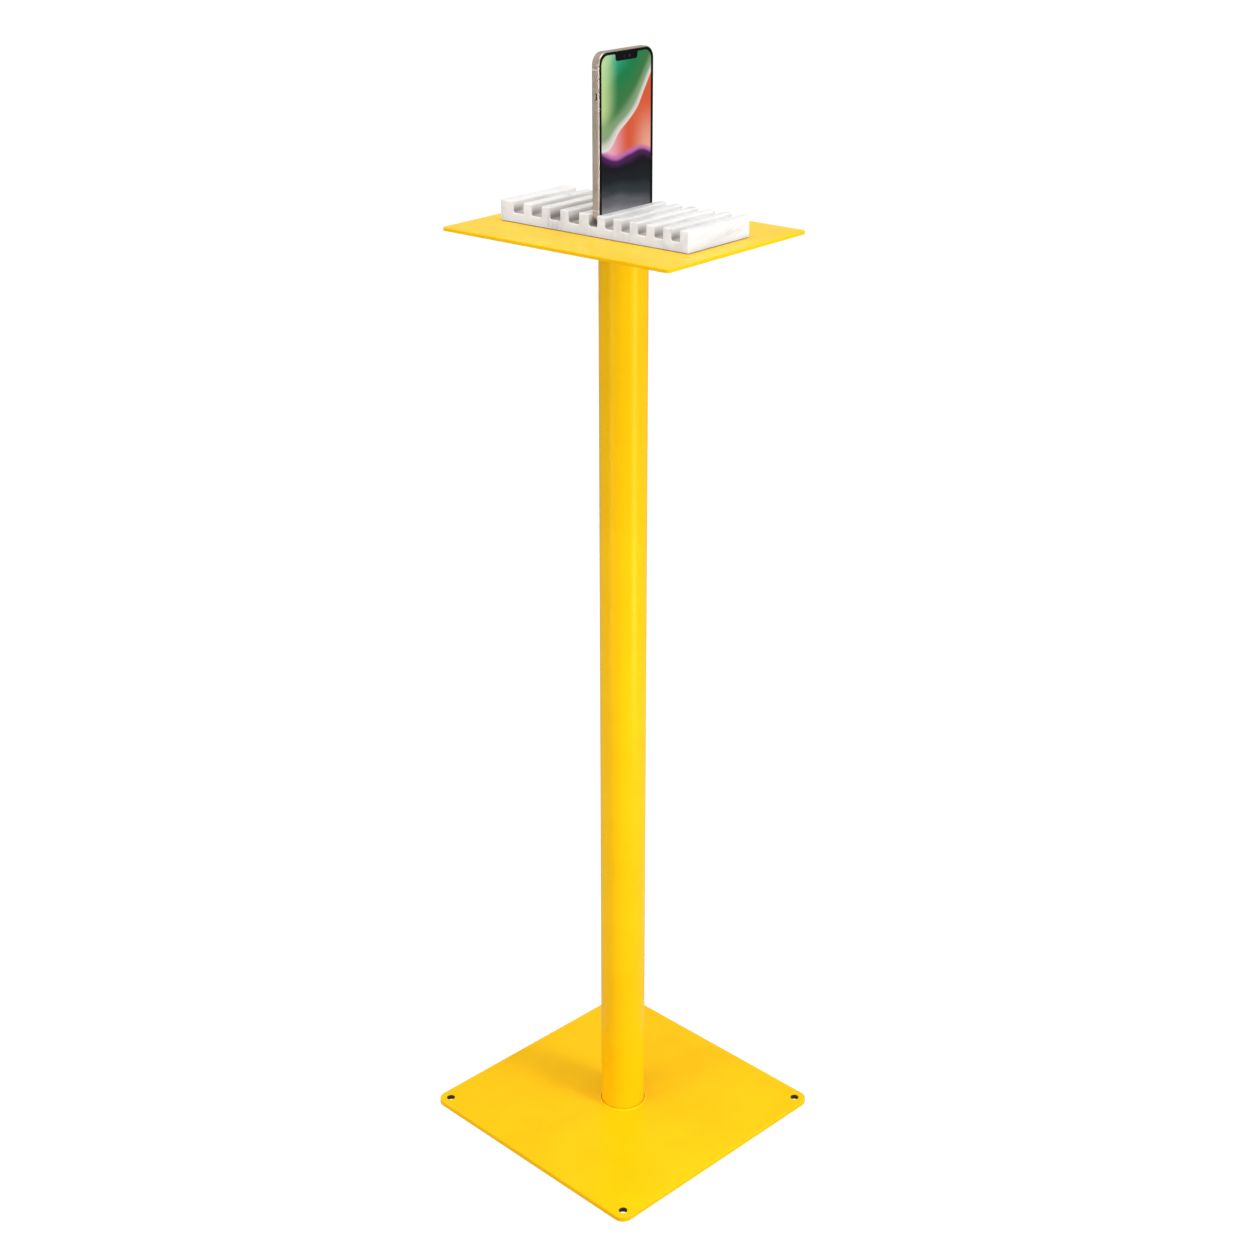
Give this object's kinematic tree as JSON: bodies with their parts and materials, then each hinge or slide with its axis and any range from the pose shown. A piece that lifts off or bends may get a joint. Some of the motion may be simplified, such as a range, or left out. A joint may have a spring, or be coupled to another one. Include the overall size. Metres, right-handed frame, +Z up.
{
  "type": "phone charging kiosk",
  "caption": "Free-standing phone charging stand: square base plate, round post and thin tray carrying a slotted stone rack with charging plugs, one handset standing in it.",
  "frame": {"origin": "on the floor, under the post's axis, at the centre of the base plate", "axes": "+Z up; the rack's slots run along Y and open towards -Y, the user's side; X runs along the row of slots; +Y is the rear, with the supply inlet"},
  "size_m": [0.3242, 0.3242, 1.1615],
  "materials": {
    "yellow_powder_coat": "semi-gloss powder coat",
    "white_marble": "honed white marble, faint grey veins",
    "dark_rubber": "matt",
    "black_plastic": "matt moulded",
    "zinc_steel": "bright zinc",
    "plug_steel": "drawn, polished",
    "brass": "turned",
    "circuit_board": "satin solder mask",
    "grey_ferrite": "fired, matt",
    "lead_jacket": "satin",
    "champagne_metal": "anodised, bead blasted",
    "screen_glass": "polished cover glass over a lit display",
    "display_stack": "laminated panel",
    "back_glass": "polished tinted glass",
    "lens_glass": "coated",
    "flash_plastic": "frosted",
    "band_polymer": "satin",
    "battery_foil": "foil pouch"
  },
  "bodies": {
    "stand": {"base_plate": "yellow_powder_coat", "board_inserts": "brass", "board_screws": "zinc_steel", "cable_grommet": "dark_rubber", "charge_board": "circuit_board", "foot_weld": "yellow_powder_coat", "head_flange": "yellow_powder_coat", "head_weld": "yellow_powder_coat", "inlet_collar": "yellow_powder_coat", "inlet_jack": "black_plastic", "inlet_nut": "zinc_steel", "inlet_pin": "plug_steel", "plug_boots": "black_plastic", "plug_shells": "plug_steel", "plug_tongues": "black_plastic", "port_capacitors": "grey_ferrite", "port_chips": "black_plastic", "port_inductors": "grey_ferrite", "post_tube": "yellow_powder_coat", "rack_block": "white_marble", "rack_gasket": "dark_rubber", "rack_inserts": "brass", "rack_screws": "zinc_steel", "rack_washers": "zinc_steel", "supply_lead": "lead_jacket", "supply_socket": "black_plastic", "tray_plate": "yellow_powder_coat", "tray_screws": "zinc_steel"},
    "handset": {"phone_frame": "champagne_metal", "antenna_bands": "band_polymer", "front_glass": "screen_glass", "display_panel": "display_stack", "back_glass": "back_glass", "camera_plate": "back_glass", "lens_rings": "champagne_metal", "lens_glasses": "lens_glass", "flash_lens": "flash_plastic", "port_shell": "plug_steel", "phone_battery": "battery_foil", "phone_board": "circuit_board"},
    "volume_up_button": {"volume_up_button": "champagne_metal"},
    "volume_down_button": {"volume_down_button": "champagne_metal"},
    "side_button": {"side_button": "champagne_metal"},
    "ring_switch": {"ring_switch": "champagne_metal"},
    "sim_tray": {"sim_tray": "champagne_metal"}
  },
  "joints": [
    {"name": "handset_lift", "type": "slide", "parent": "stand", "child": "handset", "axis": [0, 0, 1], "range_m": [0, 0.12]},
    {"name": "volume_up_press", "type": "slide", "parent": "handset", "child": "volume_up_button", "axis": [0, 1, 0], "range_m": [0, 0.0003], "stiffness_N_per_m": 1500, "springref_m": -0.0003},
    {"name": "volume_down_press", "type": "slide", "parent": "handset", "child": "volume_down_button", "axis": [0, 1, 0], "range_m": [0, 0.0003], "stiffness_N_per_m": 1500, "springref_m": -0.0003},
    {"name": "side_button_press", "type": "slide", "parent": "handset", "child": "side_button", "axis": [0, -1, 0], "range_m": [0, 0.0003], "stiffness_N_per_m": 1500, "springref_m": -0.0003},
    {"name": "ring_switch_slide", "type": "slide", "parent": "handset", "child": "ring_switch", "axis": [1, 0, 0], "range_m": [0, 0.0012]},
    {"name": "sim_tray_slide", "type": "slide", "parent": "handset", "child": "sim_tray", "axis": [0, -1, 0], "range_m": [0, 0.02]}
  ]
}
